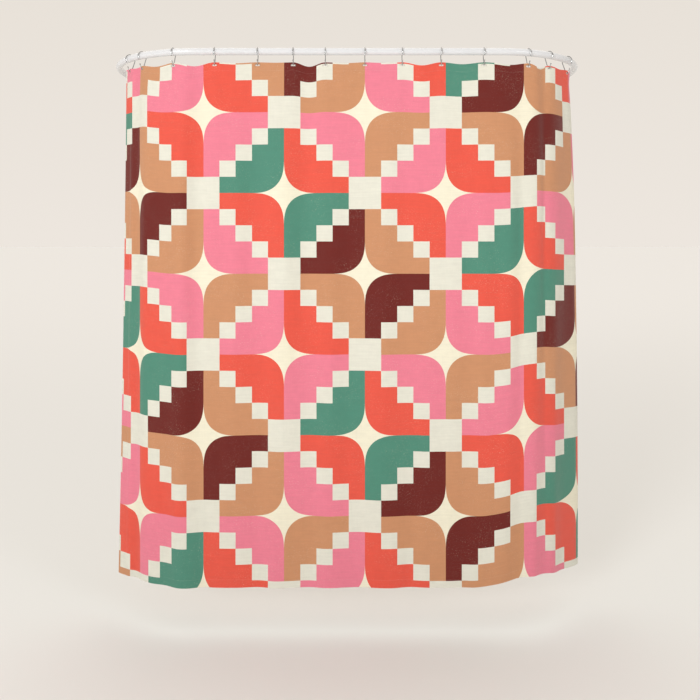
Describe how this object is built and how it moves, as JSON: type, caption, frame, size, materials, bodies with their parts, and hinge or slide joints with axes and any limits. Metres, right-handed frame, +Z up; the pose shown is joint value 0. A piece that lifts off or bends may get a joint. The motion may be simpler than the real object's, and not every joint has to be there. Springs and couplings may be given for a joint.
{
  "type": "shower curtain",
  "caption": "Square printed shower curtain hung by wire hooks from a U-shaped tube rail with wall flanges, wrapping round both bends.",
  "frame": {"origin": "bottom centre of the object's box; the hem is at Z = 0 and the cloth's middle at X = 0", "axes": "+Z up, +Y towards the wall that the flanges stand on, +X to the right as seen from the room"},
  "size_m": [1.83, 0.7199, 1.9025],
  "materials": {
    "rail": "glossy white powder coat",
    "flange": "glossy white powder coat",
    "joiner": "plain mill finish",
    "set_screw": "plain steel",
    "hook": "polished chrome wire",
    "cloth": "woven polyester with a bold geometric print",
    "hem": "folded and stitched polyester, printed as the cloth"
  },
  "bodies": {
    "rail_and_curtain": {"rail_front": "rail", "rail_left": "rail", "rail_right": "rail", "joiner_left": "joiner", "joiner_right": "joiner", "joiner_screws_left": "set_screw", "joiner_screws_right": "set_screw", "flange_screw_left": "set_screw", "flange_screw_right": "set_screw", "wall_flange_left": "flange", "wall_flange_right": "flange", "curtain_front": "cloth", "curtain_left": "cloth", "curtain_right": "cloth", "header_front": "hem", "header_left": "hem", "header_right": "hem", "bottom_hem_front": "hem", "bottom_hem_left": "hem", "bottom_hem_right": "hem", "side_hem_left": "hem", "side_hem_right": "hem"},
    "hook_01": {"hook_01": "hook"},
    "hook_02": {"hook_02": "hook"},
    "hook_03": {"hook_03": "hook"},
    "hook_04": {"hook_04": "hook"},
    "hook_05": {"hook_05": "hook"},
    "hook_06": {"hook_06": "hook"},
    "hook_07": {"hook_07": "hook"},
    "hook_08": {"hook_08": "hook"},
    "hook_09": {"hook_09": "hook"},
    "hook_10": {"hook_10": "hook"},
    "hook_11": {"hook_11": "hook"},
    "hook_12": {"hook_12": "hook"},
    "hook_13": {"hook_13": "hook"},
    "hook_14": {"hook_14": "hook"}
  },
  "joints": [
    {"name": "left_edge_draw", "type": "hinge", "parent": "rail_and_curtain", "child": "hook_01", "pos_m": [-0.53, 0.00995, 1.8675], "axis": [0, 0, 1], "range_deg": [0, 27], "deforming": ["curtain_left", "header_left", "bottom_hem_left", "side_hem_left"]},
    {"name": "hook_02_gather", "type": "hinge", "parent": "rail_and_curtain", "child": "hook_02", "pos_m": [-0.53, 0.00995, 1.8675], "axis": [0, 0, 1], "range_deg": [0, 24.4]},
    {"name": "hook_03_gather", "type": "hinge", "parent": "rail_and_curtain", "child": "hook_03", "pos_m": [-0.53, 0.00995, 1.8675], "axis": [0, 0, 1], "range_deg": [0, 9]},
    {"name": "hook_04_slide", "type": "slide", "parent": "rail_and_curtain", "child": "hook_04", "axis": [1, 0, 0], "range_m": [-0.004, 0.004]},
    {"name": "hook_05_slide", "type": "slide", "parent": "rail_and_curtain", "child": "hook_05", "axis": [1, 0, 0], "range_m": [-0.004, 0.004]},
    {"name": "hook_06_slide", "type": "slide", "parent": "rail_and_curtain", "child": "hook_06", "axis": [1, 0, 0], "range_m": [-0.004, 0.004]},
    {"name": "hook_07_slide", "type": "slide", "parent": "rail_and_curtain", "child": "hook_07", "axis": [1, 0, 0], "range_m": [-0.004, 0.004]},
    {"name": "hook_08_slide", "type": "slide", "parent": "rail_and_curtain", "child": "hook_08", "axis": [1, 0, 0], "range_m": [-0.004, 0.004]},
    {"name": "hook_09_slide", "type": "slide", "parent": "rail_and_curtain", "child": "hook_09", "axis": [1, 0, 0], "range_m": [-0.004, 0.004]},
    {"name": "hook_10_slide", "type": "slide", "parent": "rail_and_curtain", "child": "hook_10", "axis": [1, 0, 0], "range_m": [-0.004, 0.004]},
    {"name": "hook_11_slide", "type": "slide", "parent": "rail_and_curtain", "child": "hook_11", "axis": [1, 0, 0], "range_m": [-0.004, 0.004]},
    {"name": "right_edge_draw", "type": "hinge", "parent": "rail_and_curtain", "child": "hook_14", "pos_m": [0.53, 0.00995, 1.8675], "axis": [0, 0, -1], "range_deg": [0, 27], "deforming": ["curtain_right", "header_right", "bottom_hem_right", "side_hem_right"]},
    {"name": "hook_13_gather", "type": "hinge", "parent": "rail_and_curtain", "child": "hook_13", "pos_m": [0.53, 0.00995, 1.8675], "axis": [0, 0, -1], "range_deg": [0, 20.5]},
    {"name": "hook_12_gather", "type": "hinge", "parent": "rail_and_curtain", "child": "hook_12", "pos_m": [0.53, 0.00995, 1.8675], "axis": [0, 0, -1], "range_deg": [0, 9.8]}
  ],
  "couplings": [
    {"joint": "hook_02_gather", "follows": "left_edge_draw", "ratio": 0.8852},
    {"joint": "hook_03_gather", "follows": "left_edge_draw", "ratio": 0.3153},
    {"joint": "hook_13_gather", "follows": "right_edge_draw", "ratio": 0.7414},
    {"joint": "hook_12_gather", "follows": "right_edge_draw", "ratio": 0.3461}
  ]
}
